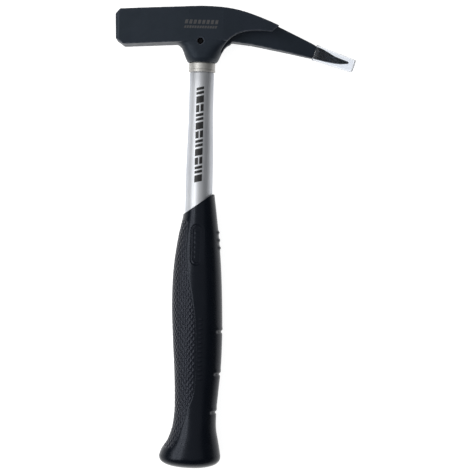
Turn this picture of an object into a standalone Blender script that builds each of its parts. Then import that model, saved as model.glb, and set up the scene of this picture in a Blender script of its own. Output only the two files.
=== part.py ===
"""Lath and brick hammer with a tubular steel handle, lying on its side.

Units are metres. The handle runs along +Y towards the head, the spike points to +X, and +Z is up from
the surface that the hammer lies on. Every piece hangs under the empty hammer_frame, whose Y axis is the
handle's axis with zero at the butt, so a local point is (side, height above the butt, depth).
"""

import math

import bmesh
import bpy
from mathutils import Vector

MM = 0.001
GAP = 0.3 * MM  # clearance between pieces that touch on the real hammer
ROUND = 32  # sides of a round piece

# Handle: a steel tube, swaged down in two steps towards the head.
TUBE_BOTTOM = 12.0 * MM
TUBE_RADIUS = 9.25 * MM
TUBE_NECK_RADIUS = 8.35 * MM
TUBE_SPIGOT_RADIUS = 7.6 * MM
TUBE_WALL = 1.4 * MM
TUBE_SETBACK = 1.2 * MM  # of the flared end, below the head's crest
TAPER_START = 210.0 * MM
TAPER_END = 246.0 * MM
COLLAR_HEIGHT = 6.3 * MM
COLLAR_RADIUS = 9.25 * MM
END_PLUG_DEPTH = 16.0 * MM
EXPANDER_SETBACK = 0.8 * MM
EXPANDER_DEPTH = 15.0 * MM
CORE_LENGTH = 70.0 * MM

# Head: heights inside it are measured from the socket's rim.
RIM_HEIGHT = 280.6 * MM
CREST = 38.2 * MM
POLL_HALF_WIDTH = 12.2 * MM
CHEEK_HALF_WIDTH = 13.6 * MM
FACE_CHAMFER = 2.4 * MM  # back from the striking face
FACE_CHAMFER_DEPTH = 1.3 * MM
EDGE_CHAMFER = 1.1 * MM
FLARE_HEIGHT = 8.0 * MM
FLARE_SPREAD = 1.2 * MM
HALF_THICKNESS_OVER = 20.0 * MM  # half the depth of the blank that the head is cut from
PIN_SIDE = -1.3 * MM
PIN_HEIGHT = 14.1 * MM
PIN_RADIUS = 1.8 * MM
PIN_CHAMFER = 0.4 * MM
PIN_LENGTH = 23.6 * MM

# Spike and claw, in plan: side from the handle's axis, depth from its mid plane.
SPIKE_TIP = 101.9 * MM
SPIKE_DEPTH = -5.0 * MM
PRONG_END = 52.6 * MM
NOTCH_ROOT = 28.5 * MM
NOTCH_ROOT_RADIUS = 1.5 * MM
NOTCH_DEPTH = 4.6 * MM

# Guard: its own X axis runs down the spike from the guard's mouth.
GUARD_MOUTH = Vector((77.7 * MM, 9.4 * MM, SPIKE_DEPTH))
GUARD_TILT = math.radians(-17.9)
GUARD_LENGTH = 29.3 * MM
GUARD_WALL = 0.6 * MM
GUARD_END_WALL = 1.0 * MM
GUARD_ROUNDING = 1.2 * MM
GUARD_HALF_HEIGHTS = (5.6 * MM, 4.65 * MM)
GUARD_HALF_WIDTHS = (5.2 * MM, 4.4 * MM)
GUARD_SQUARENESS = 3.2

# Grip: height above the butt, reach towards the poll, reach towards the spike, half depth, in mm.
GRIP_STATIONS = (
    (8.5, 23.2, 19.3, 16.6),
    (12.5, 21.9, 18.7, 16.1),
    (19.0, 17.8, 17.5, 15.0),
    (27.0, 14.9, 16.0, 13.9),
    (38.0, 13.4, 15.8, 13.3),
    (52.0, 13.4, 16.8, 13.3),
    (68.0, 14.1, 18.1, 13.8),
    (88.0, 15.5, 18.6, 14.4),
    (115.0, 16.8, 18.0, 14.9),
    (140.0, 16.1, 16.6, 14.3),
    (160.0, 13.5, 14.7, 13.0),
    (175.0, 10.6, 12.8, 11.6),
    (190.0, 10.2, 10.8, 10.6),
)
GRIP_TOP = 189.3 * MM
GRIP_CUT_LOW = 175.8 * MM
GRIP_CUT_SIDE = -9.5 * MM  # where the mouth's slant starts
GRIP_CUT_SLOPE = math.radians(34.5)
GRIP_SQUARENESS = 2.05
BUTT_DOME = 8.5 * MM
BORE_BOTTOM = 9.6 * MM

# The box of the whole hammer sets where the frame's origin stands.
POLL_FACE = -60.2 * MM
GUARD_END_HALF_HEIGHT = GUARD_HALF_HEIGHTS[1] - GUARD_ROUNDING
RIGHT_END = (
    GUARD_MOUTH.x + GUARD_LENGTH * math.cos(GUARD_TILT) - GUARD_END_HALF_HEIGHT * math.sin(GUARD_TILT)
)
FRAME_ORIGIN = Vector(
    (-(POLL_FACE + RIGHT_END) / 2, -(RIM_HEIGHT + CREST) / 2, max(s[3] for s in GRIP_STATIONS) * MM)
)


def clear_scene():
    for obj in list(bpy.data.objects):
        bpy.data.objects.remove(obj, do_unlink=True)


def make_material(name, colour, roughness, metallic=0.0, alpha=1.0):
    material = bpy.data.materials.new(name)
    material.use_nodes = True
    shader = material.node_tree.nodes["Principled BSDF"]
    shader.inputs["Base Color"].default_value = (*colour, 1.0)
    shader.inputs["Roughness"].default_value = roughness
    shader.inputs["Metallic"].default_value = metallic
    shader.inputs["Alpha"].default_value = alpha
    return material


def add_empty(name, location, parent=None):
    empty = bpy.data.objects.new(name, None)
    empty.location = location
    empty.parent = parent
    bpy.context.collection.objects.link(empty)
    return empty


def add_object(name, bm, parent, material=None):
    """Make one object from a bmesh, faces out and smooth where the surface is round."""
    bmesh.ops.recalc_face_normals(bm, faces=bm.faces)
    mesh = bpy.data.meshes.new(name)
    bm.to_mesh(mesh)
    bm.free()
    mesh.shade_smooth()
    mesh.set_sharp_from_angle(angle=math.radians(32))
    if material:
        mesh.materials.append(material)
    obj = bpy.data.objects.new(name, mesh)
    obj.parent = parent
    bpy.context.collection.objects.link(obj)
    return obj


def as_cutter(obj):
    obj.hide_render = True
    obj.display_type = "WIRE"
    return obj


def boolean(obj, operation, other):
    modifier = obj.modifiers.new(operation.title() + "_" + other.name, "BOOLEAN")
    modifier.operation = operation
    modifier.object = other


def loft(rings, wrap=False):
    """Skin closed rings of equal point counts; the end rings are capped unless the loft wraps round."""
    bm = bmesh.new()
    loops = [[bm.verts.new(point) for point in ring] for ring in rings]
    count = len(loops[0])
    pairs = list(zip(loops, loops[1:]))
    if wrap:
        pairs.append((loops[-1], loops[0]))
    else:
        bm.faces.new(loops[0])
        bm.faces.new(loops[-1])
    for lower, upper in pairs:
        for i in range(count):
            j = (i + 1) % count
            bm.faces.new((lower[i], lower[j], upper[j], upper[i]))
    return bm


def turned(profile, hollow=False, sides=ROUND):
    """Turn (radius, height) points about the Y axis; a hollow profile is a closed loop off the axis."""
    angles = [2 * math.pi * i / sides for i in range(sides)]
    rings = [[(r * math.cos(a), y, r * math.sin(a)) for a in angles] for r, y in profile]
    return loft(rings, wrap=hollow)


def prism(outline, low, high, upright=False):
    """Extrude an outline of the (side, height) plane in depth, or of the (side, depth) plane in height."""

    def place(u, v, w):
        return (u, w, v) if upright else (u, v, w)

    return loft([[place(u, v, w) for u, v in outline] for w in (low, high)])


def curve_through(points, steps=4):
    """Points of a Catmull-Rom curve through the given 2D points, ends included."""
    ends = [2 * points[0] - points[1], *points, 2 * points[-1] - points[-2]]
    curve = []
    for a, b, c, d in zip(ends, ends[1:], ends[2:], ends[3:]):
        for k in range(steps):
            t = k / steps
            curve.append(0.5 * (2 * b + (c - a) * t + (2 * a - 5 * b + 4 * c - d) * t**2
                                + (3 * b - a - 3 * c + d) * t**3))
    curve.append(points[-1])
    return curve


def mm_points(*pairs):
    return [Vector(pair) * MM for pair in pairs]


def squared_ring(left, right, half_depth, exponent, height, sides=ROUND):
    """A rounded ring in a level plane, with its own reach to the left and to the right."""
    ring = []
    for i in range(sides):
        angle = 2 * math.pi * i / sides
        c, s = math.cos(angle), math.sin(angle)
        reach = right if c > 0 else left
        x = math.copysign(reach * abs(c) ** (2 / exponent), c)
        z = math.copysign(half_depth * abs(s) ** (2 / exponent), s)
        ring.append((x, height, z))
    return ring


def head_outline():
    """Side view of the head without its socket, from the striking face round the top to the underside."""
    top = curve_through(mm_points((-57.0, 35.2), (-36.0, 36.4), (-16.0, 37.4), (0.0, 38.2), (16.0, 37.5),
                                  (30.0, 34.7), (46.0, 29.0), (60.3, 22.6), (79.5, 13.7), (87.5, 9.7),
                                  (92.5, 6.9), (101.0, 3.9)), 3)
    tip = mm_points((101.9, 3.2), (101.6, 2.4))
    underside = curve_through(mm_points((96.0, 1.9), (87.4, 2.9), (76.1, 5.2), (60.7, 8.5), (48.0, 10.9),
                                        (34.0, 13.5), (21.0, 14.9)), 2)
    poll = mm_points((-17.5, 13.2), (-54.3, 10.9), (-59.6, 14.6), (-60.2, 31.7))
    return [(p.x, p.y) for p in top + tip + underside + poll]


def plan_outline():
    """The head from above: poll, widening to the cheeks, then the far side drawn in to the spike's point."""
    chamfer_start = POLL_FACE + FACE_CHAMFER
    cheek_start, cheek_end = -10 * MM, 14 * MM
    near = [
        (POLL_FACE, POLL_HALF_WIDTH - FACE_CHAMFER_DEPTH),
        (chamfer_start, POLL_HALF_WIDTH),
        (cheek_start, CHEEK_HALF_WIDTH),
        (cheek_end, CHEEK_HALF_WIDTH),
    ]
    near_claw = [(PRONG_END, 12.3 * MM), (SPIKE_TIP, 9.0 * MM)]
    far_claw = mm_points((102.1, -5.4), (92.0, -7.2), (78.0, -9.2), (PRONG_END / MM, -12.0))
    far = [(x, -z) for x, z in reversed(near)]
    return near + near_claw + [(p.x, p.y) for p in far_claw] + far


def socket_rings():
    """The socket neck: round at its rim, squarer and flared where it runs into the cheeks, in mm."""
    sections = (
        (0.0, 9.7, 9.7, 10.6, 2.1),
        (0.7, 10.3, 10.5, 11.4, 2.2),
        (2.6, 11.3, 11.6, 12.4, 2.5),
        (6.8, 12.9, 13.4, 13.3, 3.0),
        (10.0, 14.3, 15.2, 13.55, 3.6),
        (12.0, 16.4, 17.0, 13.57, 4.2),
        (13.4, 19.2, 19.4, 13.5, 4.6),
        (16.0, 19.6, 21.0, 13.3, 5.0),
        (21.0, 16.0, 18.0, 12.0, 5.0),
    )
    return [squared_ring(left * MM, right * MM, depth * MM, exponent, y * MM, 2 * ROUND)
            for y, left, right, depth, exponent in sections]


def spike_side_cutter(parent):
    """All that stands on the near side of the spike: scoop under the prong, claw's notch, open end."""
    scoop = curve_through(mm_points((12.6, 7.5), (14.0, 10.6), (16.6, 14.2), (20.2, 17.6), (25.0, 20.2),
                                    (31.0, 21.8), (39.0, 22.3), (47.8, 21.9)), 2)
    side = [(p.x, p.y) for p in scoop]
    clear_of_head = mm_points((PRONG_END / MM, 26.2), (53.6, 60), (120, 60), (120, -9), (12.6, -9))
    side += [(p.x, p.y) for p in clear_of_head]
    cutter = as_cutter(add_object("spike_side_cutter", prism(side, -8 * MM, HALF_THICKNESS_OVER), parent))

    steps = 9
    root = [math.radians(90 + 180 * k / steps) for k in range(steps + 1)]
    notch = [(NOTCH_ROOT + NOTCH_ROOT_RADIUS * math.cos(a), NOTCH_DEPTH + NOTCH_ROOT_RADIUS * math.sin(a))
             for a in root]
    notch += [(p.x, p.y) for p in mm_points((60, -7), (60, 10.3))]
    notch_cutter = as_cutter(add_object("notch_cutter", prism(notch, 10 * MM, 50 * MM, True), parent))
    boolean(cutter, "UNION", notch_cutter)

    flank = mm_points((5.0, 4.2), (52.0, 1.5), (78.0, -0.9), (92.0, -3.0), (103.0, -4.7), (130.0, -6.0))
    near_space = [(p.x, p.y) for p in flank + mm_points((130, 22), (5, 22))]
    near_form = prism(near_space, -12 * MM, 62 * MM, True)
    boolean(cutter, "INTERSECT", as_cutter(add_object("near_side_cutter", near_form, parent)))
    return cutter


def eye_radius(height):
    """The eye's radius at a height above the rim: straight, then a cone that the tube is spread into."""
    return TUBE_SPIGOT_RADIUS + GAP + FLARE_SPREAD * max(0.0, height - (CREST - FLARE_HEIGHT)) / FLARE_HEIGHT


def build_cutters(head_frame):
    over = 3 * MM
    flare = CREST - FLARE_HEIGHT
    eye = [(eye_radius(y), y) for y in (-over, flare, CREST + over)]
    eye_cutter = as_cutter(add_object("eye_cutter", turned(eye), head_frame))

    hole = [(PIN_RADIUS + GAP, y) for y in (-HALF_THICKNESS_OVER, HALF_THICKNESS_OVER)]
    pin_hole = as_cutter(add_object("pin_hole_cutter", turned(hole, sides=20), head_frame))
    pin_hole.location = (PIN_SIDE, PIN_HEIGHT, 0)
    pin_hole.rotation_euler = (math.radians(90), 0, 0)
    return eye_cutter, pin_hole


def guard_size(along):
    """Half height and half width of the guard at a distance from its mouth."""
    part = along / GUARD_LENGTH
    return [low + (high - low) * part for low, high in (GUARD_HALF_HEIGHTS, GUARD_HALF_WIDTHS)]


def guard_ring(along, half_height, half_width):
    ring = squared_ring(half_height, half_height, half_width, GUARD_SQUARENESS, along, sides=24)
    return [(y, -x, z) for x, y, z in ring]


def point_form(guard_axis):
    """The guard's bore less the gap, flaring behind its mouth: it takes the corners off the spike's point."""
    fit = GUARD_WALL + GAP
    flare = ((-200, 120, 120), (-20, 40, 40), (-8, 7.5, 7.0))
    rings = [guard_ring(along * MM, height * MM, width * MM) for along, height, width in flare]
    for along in (0, GUARD_LENGTH):
        half_height, half_width = guard_size(along)
        rings.append(guard_ring(along, half_height - fit, half_width - fit))
    return as_cutter(add_object("spike_point_form", loft(rings), guard_axis))


def build_head(head_frame, guard_axis, eye_cutter, pin_hole, material):
    side = prism(head_outline(), -HALF_THICKNESS_OVER, HALF_THICKNESS_OVER)
    head = add_object("hammer_head", side, head_frame, material)

    plan = as_cutter(add_object("plan_form", prism(plan_outline(), -20 * MM, 60 * MM, True), head_frame))
    boolean(head, "INTERSECT", plan)
    chamfer = head.modifiers.new("Edge_chamfer", "BEVEL")
    chamfer.width = EDGE_CHAMFER
    chamfer.segments = 1
    chamfer.limit_method = "ANGLE"
    chamfer.angle_limit = math.radians(60)

    socket = as_cutter(add_object("socket_form", loft(socket_rings()), head_frame))
    boolean(head, "UNION", socket)
    boolean(head, "DIFFERENCE", spike_side_cutter(head_frame))
    boolean(head, "INTERSECT", point_form(guard_axis))
    boolean(head, "DIFFERENCE", eye_cutter)
    boolean(head, "DIFFERENCE", pin_hole)
    head.modifiers.new("Flat_faces", "WEIGHTED_NORMAL")
    return head


def build_tube(frame, pin_hole, material):
    """One tube: handle bore, swaged neck, shoulder under the collar, spigot in the eye, flared end."""
    shoulder = RIM_HEIGHT - GAP - COLLAR_HEIGHT - GAP
    flare_start = RIM_HEIGHT + CREST - FLARE_HEIGHT
    top = RIM_HEIGHT + CREST - TUBE_SETBACK
    flared = eye_radius(top - RIM_HEIGHT) - GAP
    outer = [
        (TUBE_RADIUS, TUBE_BOTTOM),
        (TUBE_RADIUS, TAPER_START),
        (TUBE_NECK_RADIUS, TAPER_END),
        (TUBE_NECK_RADIUS, shoulder - 0.6 * MM),
        (TUBE_SPIGOT_RADIUS, shoulder),
        (TUBE_SPIGOT_RADIUS, flare_start),
        (flared, top),
    ]
    inner = [(radius - TUBE_WALL, height) for radius, height in reversed(outer)]
    tube = add_object("handle_tube", turned(outer + inner, hollow=True), frame, material)
    boolean(tube, "DIFFERENCE", pin_hole)
    return tube


def build_collar(frame, material):
    """The ring that closes the step between the socket's rim and the tube's shoulder."""
    low = RIM_HEIGHT - GAP - COLLAR_HEIGHT
    high = RIM_HEIGHT - GAP
    inner = TUBE_SPIGOT_RADIUS + GAP
    edge = 0.4 * MM
    profile = [
        (inner, low),
        (COLLAR_RADIUS - edge, low),
        (COLLAR_RADIUS, low + edge),
        (COLLAR_RADIUS, high - edge),
        (COLLAR_RADIUS - edge, high),
        (inner, high),
    ]
    return add_object("eye_collar", turned(profile, hollow=True), frame, material)


def build_expander(frame, material):
    """The conical plug that spreads the tube's end in the eye."""
    fit = TUBE_WALL + GAP
    low = RIM_HEIGHT + CREST - EXPANDER_DEPTH
    flare_start = RIM_HEIGHT + CREST - FLARE_HEIGHT
    top = RIM_HEIGHT + CREST - EXPANDER_SETBACK
    straight = TUBE_SPIGOT_RADIUS - fit
    wide = eye_radius(top - RIM_HEIGHT) - GAP - fit - 0.1 * MM
    lead = 1.4 * MM
    profile = [(straight - lead, low), (straight, low + lead), (straight, flare_start), (wide, top)]
    return add_object("tube_expander", turned(profile), frame, material)


def build_core(frame, pin_hole, material):
    """The hardwood dowel under the expander, crossed by the pin."""
    radius = TUBE_SPIGOT_RADIUS - TUBE_WALL - GAP
    top = RIM_HEIGHT + CREST - EXPANDER_DEPTH - GAP
    low = top - CORE_LENGTH
    edge = 1.0 * MM
    profile = [(radius - edge, low), (radius, low + edge), (radius, top)]
    core = add_object("tube_core", turned(profile, sides=24), frame, material)
    boolean(core, "DIFFERENCE", pin_hole)
    return core


def build_pin(head_frame, material):
    """A solid pin, sunk below the cheeks, through the head, the tube and its core."""
    half = PIN_LENGTH / 2
    tip = PIN_RADIUS - PIN_CHAMFER
    profile = [(tip, -half), (PIN_RADIUS, PIN_CHAMFER - half), (PIN_RADIUS, half - PIN_CHAMFER), (tip, half)]
    pin = add_object("head_cross_pin", turned(profile, sides=24), head_frame, material)
    pin.location = (PIN_SIDE, PIN_HEIGHT, 0)
    pin.rotation_euler = (math.radians(90), 0, 0)
    return pin


def build_end_plug(frame, material):
    """The plug in the tube's lower end, with a flange under the tube."""
    radius = TUBE_RADIUS - TUBE_WALL - GAP
    low = BORE_BOTTOM + GAP
    flange = TUBE_BOTTOM - GAP
    top = TUBE_BOTTOM + END_PLUG_DEPTH
    lead = 1.0 * MM
    profile = [(TUBE_RADIUS, low), (TUBE_RADIUS, flange), (radius, flange), (radius, top - lead),
               (radius - lead, top)]
    return add_object("tube_end_plug", turned(profile), frame, material)


def grip_reach(height):
    """Left reach, right reach and half depth at a height, on a smooth curve through the stations."""
    stations = [Vector(s) * MM for s in GRIP_STATIONS]
    height = min(max(height, stations[0][0]), stations[-1][0])
    index = max(i for i in range(len(stations) - 1) if stations[i][0] <= height)
    low, high = stations[index], stations[index + 1]
    span = high[0] - low[0]
    t = (height - low[0]) / span
    before = stations[max(index - 1, 0)]
    after = stations[min(index + 2, len(stations) - 1)]
    reach = []
    for k in (1, 2, 3):
        slope_low = (high[k] - before[k]) / (high[0] - before[0]) * span
        slope_high = (after[k] - low[k]) / (after[0] - low[0]) * span
        reach.append((2 * t**3 - 3 * t**2 + 1) * low[k] + (t**3 - 2 * t**2 + t) * slope_low
                     + (3 * t**2 - 2 * t**3) * high[k] + (t**3 - t**2) * slope_high)
    return reach


def build_grip(frame, material):
    """The moulded grip: domed butt, waist, palm swell, slanted mouth and a blind bore for the tube."""
    rings = []
    dome_steps = 5
    widest = grip_reach(BUTT_DOME)
    for k in range(dome_steps):
        angle = math.radians(90) * (k + 0.6) / dome_steps
        spread = math.sin(angle) ** 0.45
        height = BUTT_DOME * (1 - math.cos(angle)) ** 1.15
        rings.append(squared_ring(*(reach * spread for reach in widest), GRIP_SQUARENESS, height))
    body_steps = 26
    for k in range(body_steps + 1):
        height = BUTT_DOME + (GRIP_TOP - BUTT_DOME) * (k / body_steps) ** 1.15
        rings.append(squared_ring(*grip_reach(height), GRIP_SQUARENESS, height))
    grip = add_object("rubber_grip", loft(rings), frame, material)

    bore_radius = TUBE_RADIUS + GAP
    bore = turned(((bore_radius, BORE_BOTTOM), (bore_radius, GRIP_TOP + 5 * MM)))
    boolean(grip, "DIFFERENCE", as_cutter(add_object("grip_bore_cutter", bore, frame)))

    reach = 30 * MM
    low_left = GRIP_CUT_LOW - (reach + GRIP_CUT_SIDE) * math.tan(GRIP_CUT_SLOPE)
    high_right = low_left + 2 * reach * math.tan(GRIP_CUT_SLOPE)
    slant = [(-reach, low_left), (reach, high_right), (-reach, high_right)]
    slant_cutter = as_cutter(add_object("grip_mouth_cutter", prism(slant, -reach, reach), frame))
    boolean(grip, "DIFFERENCE", slant_cutter)
    return grip


def build_guard(guard_axis, material):
    """A clear cap with thin walls, open at its mouth, that slides off along the spike."""
    middle = GUARD_LENGTH / 2
    floor = GUARD_LENGTH - GUARD_END_WALL
    fillet = 0.8 * MM
    outside = [(GUARD_LENGTH, GUARD_ROUNDING), (GUARD_LENGTH - GUARD_ROUNDING / 3, 0.35 * MM),
               (GUARD_LENGTH - GUARD_ROUNDING, 0), (middle, 0), (0, 0)]
    inside = [(0, GUARD_WALL), (middle, GUARD_WALL), (floor - fillet, GUARD_WALL),
              (floor, GUARD_WALL + fillet)]
    rings = []
    for along, shrink in outside + inside:
        half_height, half_width = guard_size(along)
        rings.append(guard_ring(along, half_height - shrink, half_width - shrink))
    return add_object("tip_guard", loft(rings), guard_axis, material)


def main():
    clear_scene()
    black_steel = make_material("black_painted_steel", (0.022, 0.024, 0.030), 0.45)
    satin_steel = make_material("satin_steel", (0.60, 0.62, 0.65), 0.30, 1.0)
    grey_metal = make_material("collar_grey", (0.46, 0.45, 0.42), 0.50)
    bare_steel = make_material("bare_steel", (0.50, 0.50, 0.51), 0.35, 1.0)
    pin_steel = make_material("pin_steel", (0.02, 0.02, 0.02), 0.50, 1.0)
    hardwood = make_material("hardwood", (0.50, 0.33, 0.17), 0.60)
    black_plastic = make_material("plug_plastic", (0.03, 0.03, 0.03), 0.50)
    rubber = make_material("grip_rubber", (0.012, 0.014, 0.017), 0.55)
    clear_plastic = make_material("clear_plastic", (0.90, 0.94, 0.96), 0.12, 0.0, 0.35)

    frame = add_empty("hammer_frame", FRAME_ORIGIN)
    head_frame = add_empty("head_frame", (0, RIM_HEIGHT, 0), frame)
    guard_axis = add_empty("guard_axis", GUARD_MOUTH, head_frame)
    guard_axis.rotation_euler = (0, 0, GUARD_TILT)

    eye_cutter, pin_hole = build_cutters(head_frame)
    build_head(head_frame, guard_axis, eye_cutter, pin_hole, black_steel)
    build_tube(frame, pin_hole, satin_steel)
    build_collar(frame, grey_metal)
    build_expander(frame, bare_steel)
    build_core(frame, pin_hole, hardwood)
    build_pin(head_frame, pin_steel)
    build_end_plug(frame, black_plastic)
    build_grip(frame, rubber)
    build_guard(guard_axis, clear_plastic)


main()
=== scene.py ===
"""The looks of the lath and brick hammer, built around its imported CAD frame.

Local points are (side, height, depth): side from the handle's axis towards the spike, height above the
butt or above the socket's rim, depth from the handle's mid plane towards the viewer.
"""
import math

import bmesh
import bpy
import numpy as np
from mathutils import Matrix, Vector


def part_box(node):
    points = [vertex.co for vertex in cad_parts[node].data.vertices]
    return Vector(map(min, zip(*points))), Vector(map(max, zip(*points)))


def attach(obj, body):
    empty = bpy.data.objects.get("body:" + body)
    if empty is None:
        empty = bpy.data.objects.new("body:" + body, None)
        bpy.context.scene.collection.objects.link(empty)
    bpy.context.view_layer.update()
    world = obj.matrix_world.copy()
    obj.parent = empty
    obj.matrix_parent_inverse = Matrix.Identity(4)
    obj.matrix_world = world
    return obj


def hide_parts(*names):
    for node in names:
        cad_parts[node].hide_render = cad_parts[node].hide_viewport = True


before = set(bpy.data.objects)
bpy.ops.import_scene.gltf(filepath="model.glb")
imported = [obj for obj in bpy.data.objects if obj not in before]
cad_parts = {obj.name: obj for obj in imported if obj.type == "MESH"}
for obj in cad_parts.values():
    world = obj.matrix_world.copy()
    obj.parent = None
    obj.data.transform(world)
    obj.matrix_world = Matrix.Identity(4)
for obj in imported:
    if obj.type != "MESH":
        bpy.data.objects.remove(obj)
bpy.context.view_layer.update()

MM = 0.001
GAP = 0.3 * MM

# Where the frame puts the handle's axis, the butt and the socket's rim.
tube_low, tube_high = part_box("handle_tube")
AXIS_SIDE = (tube_low.x + tube_high.x) / 2
AXIS_DEPTH = (tube_low.z + tube_high.z) / 2
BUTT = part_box("rubber_grip")[0].y
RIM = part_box("eye_collar")[1].y + GAP
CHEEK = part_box("hammer_head")[1].z
TUBE_RADIUS = (tube_high.x - tube_low.x) / 2


# ---------------------------------------------------------------- materials

def node(tree, kind, inputs=(), **settings):
    """Add a shader node; inputs maps a socket's name or number to a value or to another node's output."""
    made = tree.nodes.new(kind)
    for key, value in settings.items():
        setattr(made, key, value)
    for key, value in dict(inputs).items():
        if isinstance(value, bpy.types.NodeSocket):
            tree.links.new(value, made.inputs[key])
        else:
            made.inputs[key].default_value = value
    return made


def start_material(name, colour, roughness, **sockets):
    material = bpy.data.materials.new(name)
    material.use_nodes = True
    tree = material.node_tree
    shader = tree.nodes["Principled BSDF"]
    shader.inputs["Base Color"].default_value = (*colour, 1.0)
    shader.inputs["Roughness"].default_value = roughness
    for key, value in sockets.items():
        shader.inputs[key.replace("_", " ")].default_value = value
    return material, tree, shader


def place(tree, stretch=(1, 1, 1)):
    """Object coordinates in metres, stretched along the three axes."""
    where = node(tree, "ShaderNodeTexCoord").outputs["Object"]
    return node(tree, "ShaderNodeMapping", {"Vector": where, "Scale": stretch}).outputs["Vector"]


def noise(tree, vector, scale, detail=3.0):
    made = node(tree, "ShaderNodeTexNoise", {"Vector": vector, "Scale": scale, "Detail": detail})
    return made.outputs["Fac"]


def ramp(tree, value, low, high, to_low=0.0, to_high=1.0):
    made = node(tree, "ShaderNodeMapRange", {"Value": value, "From Min": low, "From Max": high,
                                             "To Min": to_low, "To Max": to_high})
    return made.outputs["Result"]


def multiply(tree, a, b):
    return node(tree, "ShaderNodeMath", {0: a, 1: b}, operation="MULTIPLY").outputs["Value"]


def blend(tree, factor, a, b):
    made = node(tree, "ShaderNodeMix", {"Factor": factor}, data_type="RGBA")
    for socket, value in ((made.inputs[6], a), (made.inputs[7], b)):
        if isinstance(value, bpy.types.NodeSocket):
            tree.links.new(value, socket)
        else:
            socket.default_value = (*value, 1.0)
    return made.outputs[2]


def bump(tree, shader, height, strength, distance):
    made = node(tree, "ShaderNodeBump", {"Height": height, "Strength": strength, "Distance": distance})
    tree.links.new(made.outputs["Normal"], shader.inputs["Normal"])


def head_paint():
    """Blue-black powder coat: fine pebbled skin, uneven sheen, slightly paler along the edges, partly where
    the paint is thin and partly as a painted highlight.
    """
    material, tree, shader = start_material("head_paint", (0.004, 0.007, 0.014), 0.46)
    shader.inputs["Specular Tint"].default_value = (0.72, 0.86, 1.0, 1.0)
    where = place(tree)
    cloud = noise(tree, where, 60, 5)
    base = blend(tree, ramp(tree, cloud, 0.35, 0.7), (0.004, 0.007, 0.013), (0.007, 0.010, 0.018))
    edge = node(tree, "ShaderNodeAttribute", attribute_name="edge").outputs["Fac"]
    # Pale edges, broken up by noise: partly thin, worn paint and partly a painted highlight along the edges.
    edge_wear_and_highlight = multiply(tree, edge, ramp(tree, noise(tree, where, 420, 4), 0.38, 0.62, 0.25, 1.0))
    tree.links.new(blend(tree, edge_wear_and_highlight, base, (0.095, 0.10, 0.125)), shader.inputs["Base Color"])
    tree.links.new(ramp(tree, noise(tree, where, 180, 6), 0.3, 0.7, 0.46, 0.60), shader.inputs["Roughness"])
    bump(tree, shader, noise(tree, where, 1500, 2), 0.28, 0.06 * MM)
    return material


def tube_steel():
    """Satin steel drawn lengthwise: long fine streaks in the sheen, and a cloudy tone in the colour."""
    material, tree, shader = start_material("tube_steel", (0.66, 0.68, 0.71), 0.6, Metallic=1.0)
    shader.inputs["Specular Tint"].default_value = (0.6, 0.64, 0.7, 1.0)
    streaks = noise(tree, place(tree, (1, 0.006, 1)), 2600, 3)
    cloud = noise(tree, place(tree), 45, 4)
    colour = blend(tree, ramp(tree, cloud, 0.3, 0.7), (0.62, 0.635, 0.665), (0.70, 0.715, 0.74))
    tree.links.new(colour, shader.inputs["Base Color"])
    tree.links.new(ramp(tree, streaks, 0.3, 0.7, 0.48, 0.60), shader.inputs["Roughness"])
    bump(tree, shader, streaks, 0.10, 0.02 * MM)
    return material


def collar_metal():
    """Dull warm grey metal, turned: faint rings round it."""
    material, tree, shader = start_material("collar_metal", (0.52, 0.50, 0.465), 0.38, Metallic=1.0)
    rings = noise(tree, place(tree, (0.05, 1, 0.05)), 3500, 2)
    tree.links.new(ramp(tree, rings, 0.3, 0.7, 0.48, 0.60), shader.inputs["Roughness"])
    colour = blend(tree, noise(tree, place(tree), 300, 4), (0.50, 0.49, 0.47), (0.60, 0.59, 0.565))
    tree.links.new(colour, shader.inputs["Base Color"])
    bump(tree, shader, rings, 0.15, 0.02 * MM)
    return material


def grip_rubber():
    """Satin black rubber with a fine moulded skin; the cut of the diamonds is a little paler and rougher,
    and its ridges and the panel's frame line are painted paler still, a painted highlight.
    """
    material, tree, shader = start_material("grip_rubber", (0.003, 0.005, 0.009), 0.27,
                                            Specular_IOR_Level=0.27)
    shader.inputs["Specular Tint"].default_value = (0.80, 0.86, 1.0, 1.0)
    where = place(tree)
    # The "cut" attribute: a paler tone over the diamond cut, a painted highlight on the ridges and the frame
    # line, and paler raised ticks.
    cut = node(tree, "ShaderNodeAttribute", attribute_name="cut").outputs["Fac"]
    cloud = ramp(tree, noise(tree, where, 90, 5), 0.35, 0.7)
    plain = blend(tree, cloud, (0.001, 0.0025, 0.006), (0.002, 0.0036, 0.0075))
    tree.links.new(blend(tree, cut, plain, (0.011, 0.012, 0.019)), shader.inputs["Base Color"])
    tree.links.new(ramp(tree, noise(tree, where, 240, 4), 0.3, 0.7, 0.24, 0.32), shader.inputs["Roughness"])
    bump(tree, shader, noise(tree, where, 2200, 2), 0.22, 0.05 * MM)
    return material


def guard_plastic():
    """Clear flexible plastic with faint flow marks along it, clouded where the lip is thick."""
    material, tree, shader = start_material("guard_plastic", (0.85, 0.87, 0.905), 0.08, IOR=1.3,
                                            Transmission_Weight=1.0)
    flow = noise(tree, place(tree, (0.25, 1, 1)), 420, 2)
    tree.links.new(ramp(tree, flow, 0.3, 0.7, 0.05, 0.16), shader.inputs["Roughness"])
    lip = node(tree, "ShaderNodeAttribute", attribute_name="lip").outputs["Fac"]
    tree.links.new(ramp(tree, lip, 0.0, 1.0, 1.0, 0.955), shader.inputs["Transmission Weight"])
    bump(tree, shader, flow, 0.25, 0.15 * MM)
    return material


def ink(name, colour, roughness):
    """A thin printed layer, slightly uneven in tone."""
    material, tree, shader = start_material(name, colour, roughness)
    paler = tuple(min(1.0, c * 1.5 + 0.004) for c in colour)
    worn = ramp(tree, noise(tree, place(tree), 900, 5), 0.45, 0.75)
    tree.links.new(blend(tree, worn, colour, paler), shader.inputs["Base Color"])
    bump(tree, shader, noise(tree, place(tree), 2500, 2), 0.15, 0.02 * MM)
    return material


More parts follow.
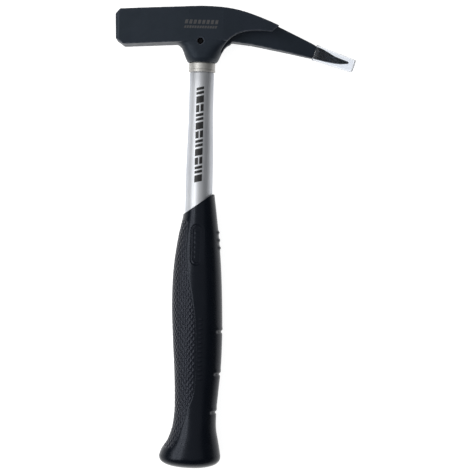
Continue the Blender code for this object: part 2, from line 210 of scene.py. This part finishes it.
def turned_steel(name, colour, roughness):
    """Plain machined steel, uneven in tone and sheen."""
    material, tree, shader = start_material(name, colour, roughness, Metallic=1.0)
    where = place(tree)
    tree.links.new(ramp(tree, noise(tree, where, 1200, 4), 0.3, 0.7, roughness - 0.06, roughness + 0.1),
                   shader.inputs["Roughness"])
    darker = tuple(0.8 * c for c in colour)
    tree.links.new(blend(tree, noise(tree, where, 260, 5), darker, colour), shader.inputs["Base Color"])
    bump(tree, shader, noise(tree, where, 2400, 2), 0.2, 0.03 * MM)
    return material


def core_wood():
    """Straight-grained hardwood: growth rings stretched along the handle, with short pores."""
    material, tree, shader = start_material("core_wood", (0.45, 0.29, 0.15), 0.6)
    grain = noise(tree, place(tree, (1, 0.04, 1)), 900, 5)
    tree.links.new(blend(tree, ramp(tree, grain, 0.35, 0.65), (0.56, 0.38, 0.21), (0.36, 0.22, 0.11)),
                   shader.inputs["Base Color"])
    bump(tree, shader, noise(tree, place(tree, (1, 0.02, 1)), 3000, 2), 0.4, 0.05 * MM)
    return material


def plug_plastic():
    """Dark moulded plastic with a fine grain."""
    material, tree, shader = start_material("plug_plastic", (0.02, 0.02, 0.021), 0.5)
    grainy = noise(tree, place(tree), 1600, 3)
    tree.links.new(blend(tree, grainy, (0.016, 0.016, 0.017), (0.026, 0.026, 0.028)),
                   shader.inputs["Base Color"])
    bump(tree, shader, grainy, 0.3, 0.04 * MM)
    return material


# ---------------------------------------------------------------- mesh helpers

def add_piece(mesh, material, body, replaced=None):
    """Put a finished mesh, drawn in world coordinates, on its CAD body."""
    mesh.materials.clear()
    mesh.materials.append(material)
    piece = bpy.data.objects.new(mesh.name, mesh)
    bpy.context.scene.collection.objects.link(piece)
    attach(piece, body)
    if replaced:
        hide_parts(replaced)
    return piece


def skin_rings(name, rings, wrap=False):
    """A mesh from an array of rings (rings, columns, 3); ends are capped unless it wraps round."""
    count, columns = rings.shape[:2]
    vertices = rings.reshape(-1, 3)
    ring = np.arange(columns)
    after = (ring + 1) % columns
    faces = []
    last = count if wrap else count - 1
    for k in range(last):
        low, high = k * columns, ((k + 1) % count) * columns
        faces.append(np.stack((low + ring, low + after, high + after, high + ring), axis=1))
    quads = np.concatenate(faces).tolist()
    if not wrap:
        quads.append(ring[::-1].tolist())
        quads.append((ring + (count - 1) * columns).tolist())
    mesh = bpy.data.meshes.new(name)
    mesh.from_pydata(vertices.tolist(), [], quads)
    face_out(mesh)
    return mesh


def face_out(mesh, sharp=35):
    bm = bmesh.new()
    bm.from_mesh(mesh)
    bmesh.ops.recalc_face_normals(bm, faces=bm.faces)
    bm.to_mesh(mesh)
    bm.free()
    mesh.shade_smooth()
    mesh.set_sharp_from_angle(angle=math.radians(sharp))


def smooth_through(stations, at):
    """Values of a smooth curve through (position, value...) stations, for an array of positions."""
    stations = np.array(stations, float)
    x = stations[:, 0]
    slope = np.gradient(stations[:, 1:], x, axis=0)
    at = np.clip(at, x[0], x[-1])
    i = np.clip(np.searchsorted(x, at, side="right") - 1, 0, len(x) - 2)
    span = x[i + 1] - x[i]
    t = ((at - x[i]) / span)[..., None]
    span = span[..., None]
    low, high = stations[i, 1:], stations[i + 1, 1:]
    return ((2 * t**3 - 3 * t**2 + 1) * low + (t**3 - 2 * t**2 + t) * span * slope[i]
            + (3 * t**2 - 2 * t**3) * high + (t**3 - t**2) * span * slope[i + 1])


def ease(x, low, high):
    t = np.clip((x - low) / (high - low), 0, 1)
    return t * t * (3 - 2 * t)


def to_world(side, height, depth, base):
    return np.stack((AXIS_SIDE + side, base + height, AXIS_DEPTH + depth), axis=-1)


# ---------------------------------------------------------------- forged head

VOXEL = 0.44 * MM
RELAX_ROUNDS = 14
RELAX_SHRINK, RELAX_SWELL = 0.5, -0.52
EDGE_PALE_FROM, EDGE_PALE_SPAN = 0.04, 0.10  # of the convexity, where the edges start to turn pale and how fast: thinning paint and a painted highlight


def forged_head(material):
    """The CAD head with a forging's soft edges: resampled finely, laid on its own faces, then relaxed."""
    form = bpy.data.objects.new("forging_form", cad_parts["hammer_head"].data.copy())
    bm = bmesh.new()
    bm.from_mesh(form.data)
    bmesh.ops.remove_doubles(bm, verts=bm.verts, dist=0.001 * MM)
    bm.to_mesh(form.data)
    bm.free()
    work = bpy.data.objects.new("forging_work", form.data.copy())
    for obj in (form, work):
        bpy.context.scene.collection.objects.link(obj)

    resample = work.modifiers.new("resample", "REMESH")
    resample.mode = "VOXEL"
    resample.voxel_size = VOXEL
    lay = work.modifiers.new("lay", "SHRINKWRAP")
    lay.target = form
    bpy.context.view_layer.update()
    mesh = bpy.data.meshes.new_from_object(work.evaluated_get(bpy.context.evaluated_depsgraph_get()))
    mesh.name = "head_forging"
    for obj in (form, work):
        bpy.data.objects.remove(obj, do_unlink=True)
    mesh.shade_smooth()
    soften(mesh)
    return add_piece(mesh, material, "hammer", "hammer_head")


def read_vectors(items, name):
    values = np.empty(len(items) * 3)
    items.foreach_get(name, values)
    return values.reshape(-1, 3)


def soften(mesh):
    """Round the edges without shrinking thin parts, and store how convex the surface is at each vertex."""
    count = len(mesh.vertices)
    points = read_vectors(mesh.vertices, "co")
    ends = np.empty(len(mesh.edges) * 2, int)
    mesh.edges.foreach_get("vertices", ends)
    a, b = ends.reshape(-1, 2).T
    share = np.bincount(a, minlength=count) + np.bincount(b, minlength=count)

    def spread(values):
        columns = [np.bincount(a, v[b], count) + np.bincount(b, v[a], count) for v in values.T]
        return np.stack(columns, axis=-1) / share[:, None]

    for _ in range(RELAX_ROUNDS):
        for step in (RELAX_SHRINK, RELAX_SWELL):
            points += step * (spread(points) - points)
    mesh.vertices.foreach_set("co", points.ravel())
    mesh.update()
    normals = read_vectors(mesh.vertices, "normal")
    sink = ((spread(points) - points) * normals).sum(axis=1)
    convex = np.clip(-sink / VOXEL, 0, 1)[:, None]
    for _ in range(2):
        convex = (convex + spread(convex)) / 2
    # Mask of the pale edges: partly where the paint thins, partly a painted highlight.
    edge = np.clip((convex[:, 0] - EDGE_PALE_FROM) / EDGE_PALE_SPAN, 0, 1)
    layer = mesh.attributes.new("edge", "FLOAT", "POINT")
    layer.data.foreach_set("value", edge.astype(np.float32))


# ---------------------------------------------------------------- tube, collar and marks

COLUMNS = 144


def turned_rings(profile):
    """Side, height and depth of the rings that a (radius, height) profile turns into."""
    angle = 2 * math.pi * np.arange(COLUMNS) / COLUMNS
    radius, height = np.array(profile).T
    side = radius[:, None] * np.cos(angle)
    depth = radius[:, None] * np.sin(angle)
    return side, height[:, None] + 0 * side, depth


TUBE_NECK_RADIUS = 8.35 * MM
TUBE_WALL = 1.4 * MM
SWAGE_LOW, SWAGE_HIGH = 204 * MM, 249 * MM
SPIGOT_RADIUS = 7.6 * MM  # inside the collar and the head's eye
FLARE_LENGTH, FLARE = 6.8 * MM, 0.95 * MM


def tube_surface(height):
    """The tube's outer radius over its visible length: full, then swaged down to the neck."""
    t = np.clip((SWAGE_HIGH - height) / (SWAGE_HIGH - SWAGE_LOW), 0, 1)
    return TUBE_NECK_RADIUS + (TUBE_RADIUS - TUBE_NECK_RADIUS) * t * t * (3 - 2 * t)


def handle_tube(material):
    """One turned shell: full tube, swage, shoulder under the collar, spigot and flared top end."""
    low = tube_low.y - BUTT
    top = tube_high.y - BUTT
    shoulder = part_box("eye_collar")[0].y - BUTT - GAP
    lip = SPIGOT_RADIUS + FLARE
    heights = [low, *np.linspace(SWAGE_LOW - 4 * MM, SWAGE_HIGH, 26), shoulder - 0.6 * MM]
    outer = [(float(tube_surface(h)), h) for h in heights]
    outer += [(TUBE_NECK_RADIUS - 0.25 * MM, shoulder - 0.15 * MM), (SPIGOT_RADIUS, shoulder)]
    outer += [(SPIGOT_RADIUS, top - FLARE_LENGTH), (lip - 0.2 * MM, top - 0.35 * MM), (lip - 0.4 * MM, top)]
    inner = [(radius - TUBE_WALL, height) for radius, height in outer[-3::-1]]
    inner.insert(0, (lip - TUBE_WALL, top))
    mesh = skin_rings("tube_shell", to_world(*turned_rings(outer + inner), BUTT), wrap=True)
    return add_piece(mesh, material, "hammer", "handle_tube")


def collar(material):
    """A ring with rounded corners and a fine groove that sets off the bead along its lower edge."""
    low, high = (corner.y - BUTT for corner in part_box("eye_collar"))
    radius = (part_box("eye_collar")[1].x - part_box("eye_collar")[0].x) / 2
    bore = 7.9 * MM
    corner, groove_depth, shrink = 0.45 * MM, 0.28 * MM, 0.12 * MM
    turn = np.radians(np.linspace(0, 90, 6))
    profile = [(bore, low)]
    profile += [(radius - corner + corner * math.sin(a), low + corner - corner * math.cos(a)) for a in turn]
    step = low + 1.7 * MM
    profile += [(radius, step - 0.2 * MM), (radius - groove_depth, step),
                (radius - groove_depth, step + 0.25 * MM), (radius - shrink, step + 0.45 * MM)]
    radius -= shrink
    profile += [(radius - corner + corner * math.cos(a), high - corner + corner * math.sin(a)) for a in turn]
    profile += [(bore, high)]
    mesh = skin_rings("collar_ring", to_world(*turned_rings(profile), BUTT), wrap=True)
    return add_piece(mesh, material, "hammer", "eye_collar")


INK_LIFT = 0.05 * MM


def patch_mesh(name, patches, lift):
    """Thin closed plates: each patch maps (u, v) in 0..1 to a base point and its outward normal."""
    vertices, faces = [], []
    columns, rows = 8, 6
    for patch in patches:
        start = len(vertices)
        for level in (-lift, lift):
            for j in range(rows + 1):
                for i in range(columns + 1):
                    point, normal = patch(i / columns, j / rows)
                    vertices.append(point + normal * level)
        layer = (rows + 1) * (columns + 1)
        for j in range(rows):
            for i in range(columns):
                a = start + j * (columns + 1) + i
                quad = (a, a + 1, a + columns + 2, a + columns + 1)
                faces.append(quad[::-1])
                faces.append(tuple(v + layer for v in quad))
        border = [start + i for i in range(columns)]
        border += [start + columns + j * (columns + 1) for j in range(rows)]
        border += [start + rows * (columns + 1) + columns - i for i in range(columns)]
        border += [start + (rows - j) * (columns + 1) for j in range(rows)]
        for a, b in zip(border, border[1:] + border[:1]):
            faces.append((a, b, b + layer, a + layer))
    mesh = bpy.data.meshes.new(name)
    mesh.from_pydata(vertices, [], faces)
    face_out(mesh)
    return mesh


def tube_marks(material):
    """A plain column of slanted bars down the tube, some of them split."""
    low, high = 197.3 * MM, 263.8 * MM
    bars = 11
    pitch = (high - low) / bars
    width, centre, slant = 5.2 * MM, -0.65 * MM, 1.3 * MM
    long_bar, slit = 0.8 * pitch, 0.17 * pitch

    def bar(start, length, across=(0.0, 1.0)):
        def at(u, v):
            part = across[0] + (across[1] - across[0]) * u
            side = centre + width * (part - 0.5)
            height = start + length * v + slant * (part - 0.5)
            radius = float(tube_surface(np.array(height)))
            depth = math.sqrt(radius**2 - side**2)
            normal = Vector((side, 0, depth)) / radius
            return Vector((AXIS_SIDE + side, BUTT + height, AXIS_DEPTH + depth)), normal
        return at

    patches = []
    for k in range(bars):
        start = low + pitch * (k + 0.1)
        if k % 3 == 0:
            patches.append(bar(start, long_bar))
        elif k % 3 == 1:
            half = (long_bar - slit) / 2
            patches += [bar(start, half), bar(start + half + slit, half)]
        else:
            patches += [bar(start, long_bar, (0.0, 0.42)), bar(start, long_bar, (0.58, 1.0))]
    mesh = patch_mesh("tube_marks", patches, INK_LIFT)
    return add_piece(mesh, material, "hammer")


def head_marks(material):
    """Two plain rows of small bars on the cheek."""
    lean = 0.6 * MM

    def bar(left, right, low, high):
        def at(u, v):
            side = left + (right - left) * u + lean * v
            height = low + (high - low) * v
            return Vector((AXIS_SIDE + side, RIM + height, CHEEK)), Vector((0, 0, 1))
        return at

    patches = []
    # Each row: low and high edge above the rim, first bar's side, bar width, pitch, number of bars.
    rows = ((25.7 * MM, 28.5 * MM, -12.4 * MM, 2.0 * MM, 2.95 * MM, 8),
            (22.7 * MM, 24.4 * MM, -12.9 * MM, 1.3 * MM, 1.75 * MM, 13))
    for low, high, first, width, pitch, count in rows:
        patches += [bar(first + pitch * k, first + pitch * k + width, low, high) for k in range(count)]
    mesh = patch_mesh("head_marks", patches, INK_LIFT)
    return add_piece(mesh, material, "hammer")


# ---------------------------------------------------------------- rubber grip

# Height above the butt, reach towards the poll, reach towards the spike, half depth, in mm.
GRIP_STATIONS = (
    (8.5, 23.2, 19.3, 16.6),
    (12.5, 21.9, 18.7, 16.1),
    (19.0, 17.8, 17.5, 15.0),
    (27.0, 14.9, 16.0, 13.9),
    (38.0, 13.4, 15.8, 13.3),
    (52.0, 13.4, 16.8, 13.3),
    (68.0, 14.1, 18.1, 13.8),
    (88.0, 15.5, 18.6, 14.4),
    (115.0, 16.8, 18.0, 14.9),
    (140.0, 16.1, 16.6, 14.3),
    (160.0, 13.5, 14.7, 13.0),
    (175.0, 10.6, 12.8, 11.6),
    (190.0, 10.2, 10.8, 10.6),
)
# Height and side of the line where the diamonds end, on both faces of the grip, in mm.
DIAMOND_BORDER = (
    (13.0, -14.6),
    (19.0, -11.7),
    (27.0, -8.7),
    (36.5, -5.8),
    (43.0, -3.9),
    (50.0, -1.2),
    (61.0, 0.2),
    (85.0, 0.4),
    (100.0, -0.5),
    (116.0, -2.7),
    (131.0, -5.5),
    (145.0, -7.5),
    (172.0, -7.2),
)
GRIP_TOP = 189.3
GRIP_CUT_LOW, GRIP_CUT_SIDE = 175.8, -9.5  # where the mouth's slant starts
GRIP_CUT_SLOPE = math.tan(math.radians(34.5))
GRIP_SQUARENESS = 2.05  # 2 is an ellipse
GRIP_TILT_FROM = 168.0  # above this the rings tilt into the mouth
BUTT_DOME = 8.5
DIAMOND = (3.1, 4.3)  # width round the grip and length along it
DIAMOND_DEPTH, DIAMOND_RISE = 0.28, 0.32
DIAMOND_TOP = 171.5
PANEL_SIDE, PANEL_HEIGHT = -0.4, 154.6  # centre of the sunk panel
PANEL_TICKS = (6, 146.2, 3.3)  # number, first height, pitch
SIDE_TICKS = (14, 62.5, 3.15)
TICKS_SIDE = 3.6
RIB_HEIGHTS = (152.7, 158.0, 163.3)
GROOVE_HEIGHTS = (38.9, 65.3, 94.7)


def grip_section(height, angle):
    """Side and depth in mm on the grip's plain surface; height and angle are arrays of one shape."""
    left, right, depth = np.moveaxis(smooth_through(GRIP_STATIONS, height), -1, 0)
    dome = np.clip((BUTT_DOME - height) / BUTT_DOME, 0, 1)
    spread = (1 - dome**2.6) ** 0.42
    c, s = np.cos(angle), np.sin(angle)
    power = 2 / GRIP_SQUARENESS
    side = np.sign(c) * np.where(c > 0, right, left) * np.abs(c) ** power * spread
    out = np.sign(s) * depth * np.abs(s) ** power * spread
    return side, out


def mouth_height(side):
    """Height of the slanted mouth at a side position, before its top is cut level."""
    return GRIP_CUT_LOW + (side - GRIP_CUT_SIDE) * GRIP_CUT_SLOPE


def rounded_box(x, y, half_x, half_y, corner):
    """Signed distance to a rounded rectangle, negative inside."""
    qx = np.abs(x) - half_x + corner
    qy = np.abs(y) - half_y + corner
    return np.hypot(np.maximum(qx, 0), np.maximum(qy, 0)) + np.minimum(np.maximum(qx, qy), 0) - corner


def grip_relief(side, height, depth, along):
    """How far the surface stands out, in mm, and how pale it is, from 0 on plain rubber to 1 on a ridge; the
    extra paleness on the ridges and the frame line is a painted highlight.
    """
    border = smooth_through(DIAMOND_BORDER, height)[..., 0]
    cut_top = np.minimum(DIAMOND_TOP, mouth_height(side) - 3)
    cut = ease(border - side, 0.0, 0.5) * ease(height, 13.5, 16.0) * ease(cut_top - height, 0, 0.6)
    across = np.abs((along / DIAMOND[0] + height / DIAMOND[1]) % 1 - 0.5) * 2
    down = np.abs((along / DIAMOND[0] - height / DIAMOND[1]) % 1 - 0.5) * 2
    ridge = ease(np.maximum(across, down), 0.42, 0.96)
    relief = cut * (-DIAMOND_DEPTH + DIAMOND_RISE * ridge)
    border_line = np.exp(-((side - border - 0.25) / 0.28) ** 2)
    relief -= 0.22 * border_line * ease(height, 15, 20) * ease(172 - height, 0, 3)

    front = depth > 0
    panel = rounded_box(side - PANEL_SIDE, height - PANEL_HEIGHT, 4.5, 14.3, 4.4)
    inside = rounded_box(side - PANEL_SIDE, height - PANEL_HEIGHT, 3.1, 12.9, 3.1)
    frame_line = front * np.exp(-(inside / 0.42) ** 2)
    relief += front * -0.42 * ease(-panel, 0, 0.5) + 0.4 * frame_line
    count, first, pitch = PANEL_TICKS
    for k in range(count):
        tick = rounded_box(side - PANEL_SIDE, height - (first + pitch * k), 1.5, 0.65, 0.5)
        relief += front * 0.12 * ease(-tick, -0.25, 0.25)

    # Paleness: a paler tone over the whole cut, plus a painted highlight on the diamond ridges and on the
    # frame line.
    pale = cut * (0.25 + 0.75 * ridge) + 0.45 * frame_line
    count, first, pitch = SIDE_TICKS
    for k in range(count):
        tick = rounded_box(side - TICKS_SIDE, height - (first + pitch * k), 1.0, 0.7, 0.4)
        lifted = front * ease(-tick, -0.25, 0.25)
        relief += 0.24 * lifted
        pale += 0.8 * lifted

    edge_side = side > 0
    for rib in RIB_HEIGHTS:
        reach = ease(6.5 - np.abs(depth), 0, 3.5)
        relief += edge_side * reach * 0.75 * np.exp(-((height - rib) / 1.05) ** 2)
    for groove in GROOVE_HEIGHTS:
        reach = ease(9.5 - np.abs(depth), 0, 2.0)
        slot = np.exp(-(((height - groove) / 0.95) ** 4))
        lip = np.exp(-((height - groove - 2.2) / 1.2) ** 2)
        relief += edge_side * reach * (0.2 * lip - 0.75 * slot)
    return relief, pale


def grip_angles():
    """Columns round the grip, closer together over the diamonds; the first is at the spike side."""
    plain, fine = 56, 164
    first = np.linspace(0, 0.47 * math.pi, plain // 2, endpoint=False)
    middle = np.linspace(0.47 * math.pi, 1.53 * math.pi, fine, endpoint=False)
    last = np.linspace(1.53 * math.pi, 2 * math.pi, plain // 2, endpoint=False)
    return np.concatenate((first, middle, last))


def rubber_grip(material):
    """The moulding: domed butt, waisted body with its relief, slanted mouth, and the bore for the tube."""
    angle = grip_angles()
    dome = BUTT_DOME * (1 - np.cos(np.radians(np.linspace(4, 84, 16))))
    body = np.linspace(BUTT_DOME, GRIP_TILT_FROM, 388)
    crown = np.linspace(0, 1, 40)[1:]
    level = np.concatenate((dome, body, GRIP_TILT_FROM + crown * (GRIP_TOP - GRIP_TILT_FROM)))
    height, turn = np.meshgrid(level, angle, indexing="ij")
    side, depth = grip_section(height, turn)

    # Over the last stretch the rings tilt until the top one lies in the slanted mouth.
    mouth = np.minimum(GRIP_TOP, mouth_height(side))
    part = np.clip((level - GRIP_TILT_FROM) / (GRIP_TOP - GRIP_TILT_FROM), 0, 1)[:, None]
    height = np.where(part > 0, GRIP_TILT_FROM + part * (mouth - GRIP_TILT_FROM), height)
    side, depth = grip_section(height, turn)

    step = np.hypot(np.diff(side, axis=1, append=side[:, :1]), np.diff(depth, axis=1, append=depth[:, :1]))
    run = np.cumsum(step, axis=1) - step
    front, back = np.argmin(np.abs(angle - math.pi / 2)), np.argmin(np.abs(angle - 1.5 * math.pi))
    along = np.where(depth >= 0, run - run[:, front:front + 1], run[:, back:back + 1] - run)

    points = np.stack((side, height, depth), axis=-1)
    round_way = np.roll(points, -1, axis=1) - np.roll(points, 1, axis=1)
    up_way = np.gradient(points, axis=0)
    normal = np.cross(up_way, round_way)
    normal /= np.linalg.norm(normal, axis=-1, keepdims=True) + 1e-12
    outward = np.sign((normal[..., [0, 2]] * points[..., [0, 2]]).sum(axis=-1, keepdims=True))
    relief, pale = grip_relief(side, height, depth, along)
    points = points + normal * outward * relief[..., None]

    # The lip turns over the mouth's edge, and the bore runs down to the tube's end.
    bore = (TUBE_RADIUS + 0.2 * MM) / MM
    rim = points[-1]
    hole = np.stack((bore * np.cos(angle), rim[:, 1], bore * np.sin(angle)), axis=-1)
    turn_over = ((0.18, 0.28), (0.5, 0.36), (0.85, 0.2))  # part of the way in, and rise
    lip = [rim * (1 - t) + hole * t + np.array((0, h, 0)) for t, h in turn_over]
    bore_heights = (160, 9.6)  # below the slant, and the bore's floor
    down = [hole] + [np.stack((hole[:, 0], 0 * hole[:, 0] + h, hole[:, 2]), axis=-1) for h in bore_heights]
    rings = np.concatenate((points, np.array(lip), np.array(down))) * MM
    world = to_world(rings[..., 0], rings[..., 1], rings[..., 2], BUTT)
    mesh = skin_rings("grip_moulding", world)
    mesh.set_sharp_from_angle(angle=math.radians(60))
    # The paleness, painted highlight included, goes into the "cut" attribute.
    layer = mesh.attributes.new("cut", "FLOAT", "POINT")
    values = np.zeros(rings.shape[:2], np.float32)
    values[:len(points)] = pale
    layer.data.foreach_set("value", values.ravel())
    return add_piece(mesh, material, "hammer", "rubber_grip")


# ---------------------------------------------------------------- tip guard

# Lengths in mm; half heights and half widths are at the mouth and at the closed end.
GUARD_TILT = math.radians(-17.9)
GUARD_LENGTH = 29.3
GUARD_MOUTH = (77.7, 9.4, -5.0)
GUARD_HALF_HEIGHTS = (5.6, 4.65)
GUARD_HALF_WIDTHS = (5.2, 4.4)
GUARD_SQUARENESS = 3.2


def guard_rings(profile):
    """World rings of the guard's squared section at (distance from its mouth, inset) pairs in mm."""
    columns = 96
    angle = 2 * math.pi * np.arange(columns) / columns
    rings = []
    for along, shrink in profile:
        part = along / GUARD_LENGTH
        half_height, half_width = (mouth + (end - mouth) * part - shrink
                                   for mouth, end in (GUARD_HALF_HEIGHTS, GUARD_HALF_WIDTHS))
        c, s = np.cos(angle), np.sin(angle)
        power = 2 / GUARD_SQUARENESS
        across = np.sign(s) * np.abs(s) ** power * half_height
        depth = np.sign(c) * np.abs(c) ** power * half_width
        rings.append(np.stack((along + 0 * c, across, depth), axis=-1))
    rings = np.array(rings)
    c, s = math.cos(GUARD_TILT), math.sin(GUARD_TILT)
    side = GUARD_MOUTH[0] + rings[..., 0] * c - rings[..., 1] * s
    height = GUARD_MOUTH[1] + rings[..., 0] * s + rings[..., 1] * c
    return to_world(side * MM, height * MM, (GUARD_MOUTH[2] + rings[..., 2]) * MM, RIM)


def tip_guard(material):
    """A clear cap: rolled bead at the mouth, thin drawn-in walls, flat end with rounded corners."""
    wall, end_wall, corner, lip_length = 0.6, 1.0, 1.2, 2.9
    outside = [(GUARD_LENGTH - corner + corner * math.cos(a), corner * (1 - math.sin(a)))
               for a in np.radians(np.linspace(0, 90, 8))]
    outside += [(along, 0.0) for along in np.linspace(26, 3.4, 14)]
    outside += [(2.6, -0.02), (2.2, -0.12), (1.6, -0.18), (0.9, -0.16), (0.35, -0.06), (0.0, 0.16)]
    inside = [(0.0, wall - 0.2), (0.4, wall)] + [(along, wall) for along in np.linspace(2, 24, 12)]
    depth_end = GUARD_LENGTH - end_wall
    inside += [(depth_end - 1.0 + 1.0 * math.sin(a), wall + 1.0 - 1.0 * math.cos(a))
               for a in np.radians(np.linspace(0, 90, 6))]
    world = guard_rings(outside + inside)
    mesh = skin_rings("guard_cap", world)
    thick = np.zeros(len(mesh.vertices), np.float32)
    for ring, (along, _) in enumerate(outside + inside):
        thick[ring * world.shape[1]:(ring + 1) * world.shape[1]] = ease(lip_length - along, 0, 0.5)
    mesh.attributes.new("lip", "FLOAT", "POINT").data.foreach_set("value", thick)
    return add_piece(mesh, material, "guard", "tip_guard")


# ---------------------------------------------------------------- floor, lights and camera

def set_stage():
    """A wide pale floor that glows a little, so that it stays even behind the object."""
    bpy.ops.mesh.primitive_grid_add(x_subdivisions=8, y_subdivisions=8, size=8)
    floor = bpy.context.object
    floor.name = "studio_floor"
    material, tree, shader = start_material("studio_floor", (0.62, 0.62, 0.62), 0.85)
    shader.inputs["Emission Color"].default_value = (1, 1, 1, 1)
    shader.inputs["Emission Strength"].default_value = 0.94
    shader.inputs["Coat Weight"].default_value = 1.0
    shader.inputs["Coat Roughness"].default_value = 0.25
    shader.inputs["Coat IOR"].default_value = 1.7
    tone = noise(tree, place(tree), 3, 2)
    tree.links.new(blend(tree, tone, (0.61, 0.61, 0.61), (0.64, 0.64, 0.64)), shader.inputs["Base Color"])
    floor.data.materials.append(material)


def add_softbox(name, position, aim, size, power):
    """A rectangular lamp; size is its length level with the floor, then its width."""
    lamp = bpy.data.lights.new(name, "AREA")
    lamp.shape = "RECTANGLE"
    lamp.size, lamp.size_y = size
    lamp.energy = power
    obj = bpy.data.objects.new(name, lamp)
    bpy.context.scene.collection.objects.link(obj)
    obj.location = position
    obj.rotation_euler = (Vector(position) - Vector(aim)).to_track_quat("Z", "Y").to_euler()


def set_lights():
    world = bpy.data.worlds.new("studio")
    world.use_nodes = True
    world.node_tree.nodes["Background"].inputs["Color"].default_value = (0.96, 0.98, 1.0, 1)
    world.node_tree.nodes["Background"].inputs["Strength"].default_value = 0.13
    bpy.context.scene.world = world
    add_softbox("key_left", (-1.03, 0.05, 0.86), (-0.02, 0.0, 0), (1.6, 0.36), 7.2)
    add_softbox("key_high", (-0.70, 0.05, 1.08), (-0.02, 0.0, 0), (1.4, 0.18), 4.6)
    add_softbox("overhead", (0.15, 0.1, 2.3), (0, 0, 0), (2.4, 2.4), 6.5)
    bpy.context.scene.view_settings.view_transform = "Standard"


def set_camera():
    """Looking straight down on the side with the claw prong, turned a little so that the handle leans."""
    distance, view_width, lean = 1.4, 0.3257, math.radians(1.42)
    view_centre = (25.7 * MM, 161.9 * MM)  # from the handle's axis, above the butt
    sensor = 36.0
    camera = bpy.data.cameras.new("camera")
    camera.sensor_width = sensor
    camera.lens = sensor * distance / view_width
    obj = bpy.data.objects.new("camera", camera)
    bpy.context.scene.collection.objects.link(obj)
    obj.location = (AXIS_SIDE + view_centre[0], BUTT + view_centre[1], AXIS_DEPTH + distance)
    obj.rotation_euler = (0, 0, lean)
    bpy.context.scene.camera = obj


def main():
    set_camera()
    forged_head(head_paint())
    handle_tube(tube_steel())
    collar(collar_metal())
    tube_marks(ink("black_ink", (0.006, 0.006, 0.007), 0.45))
    head_marks(ink("grey_ink", (0.055, 0.055, 0.058), 0.5))
    rubber_grip(grip_rubber())
    tip_guard(guard_plastic())
    kept = {
        "tube_expander": turned_steel("bare_steel", (0.50, 0.50, 0.51), 0.35),
        # The cross pin is near black: partly a blackened finish, partly painted shade for the dark hole it
        # sits in.
        "head_cross_pin": turned_steel("pin_steel", (0.012, 0.012, 0.013), 0.5),
        "tube_core": core_wood(),
        "tube_end_plug": plug_plastic(),
    }
    for name, material in kept.items():
        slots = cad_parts[name].data.materials
        slots.clear()
        slots.append(material)
    set_stage()
    set_lights()


main()
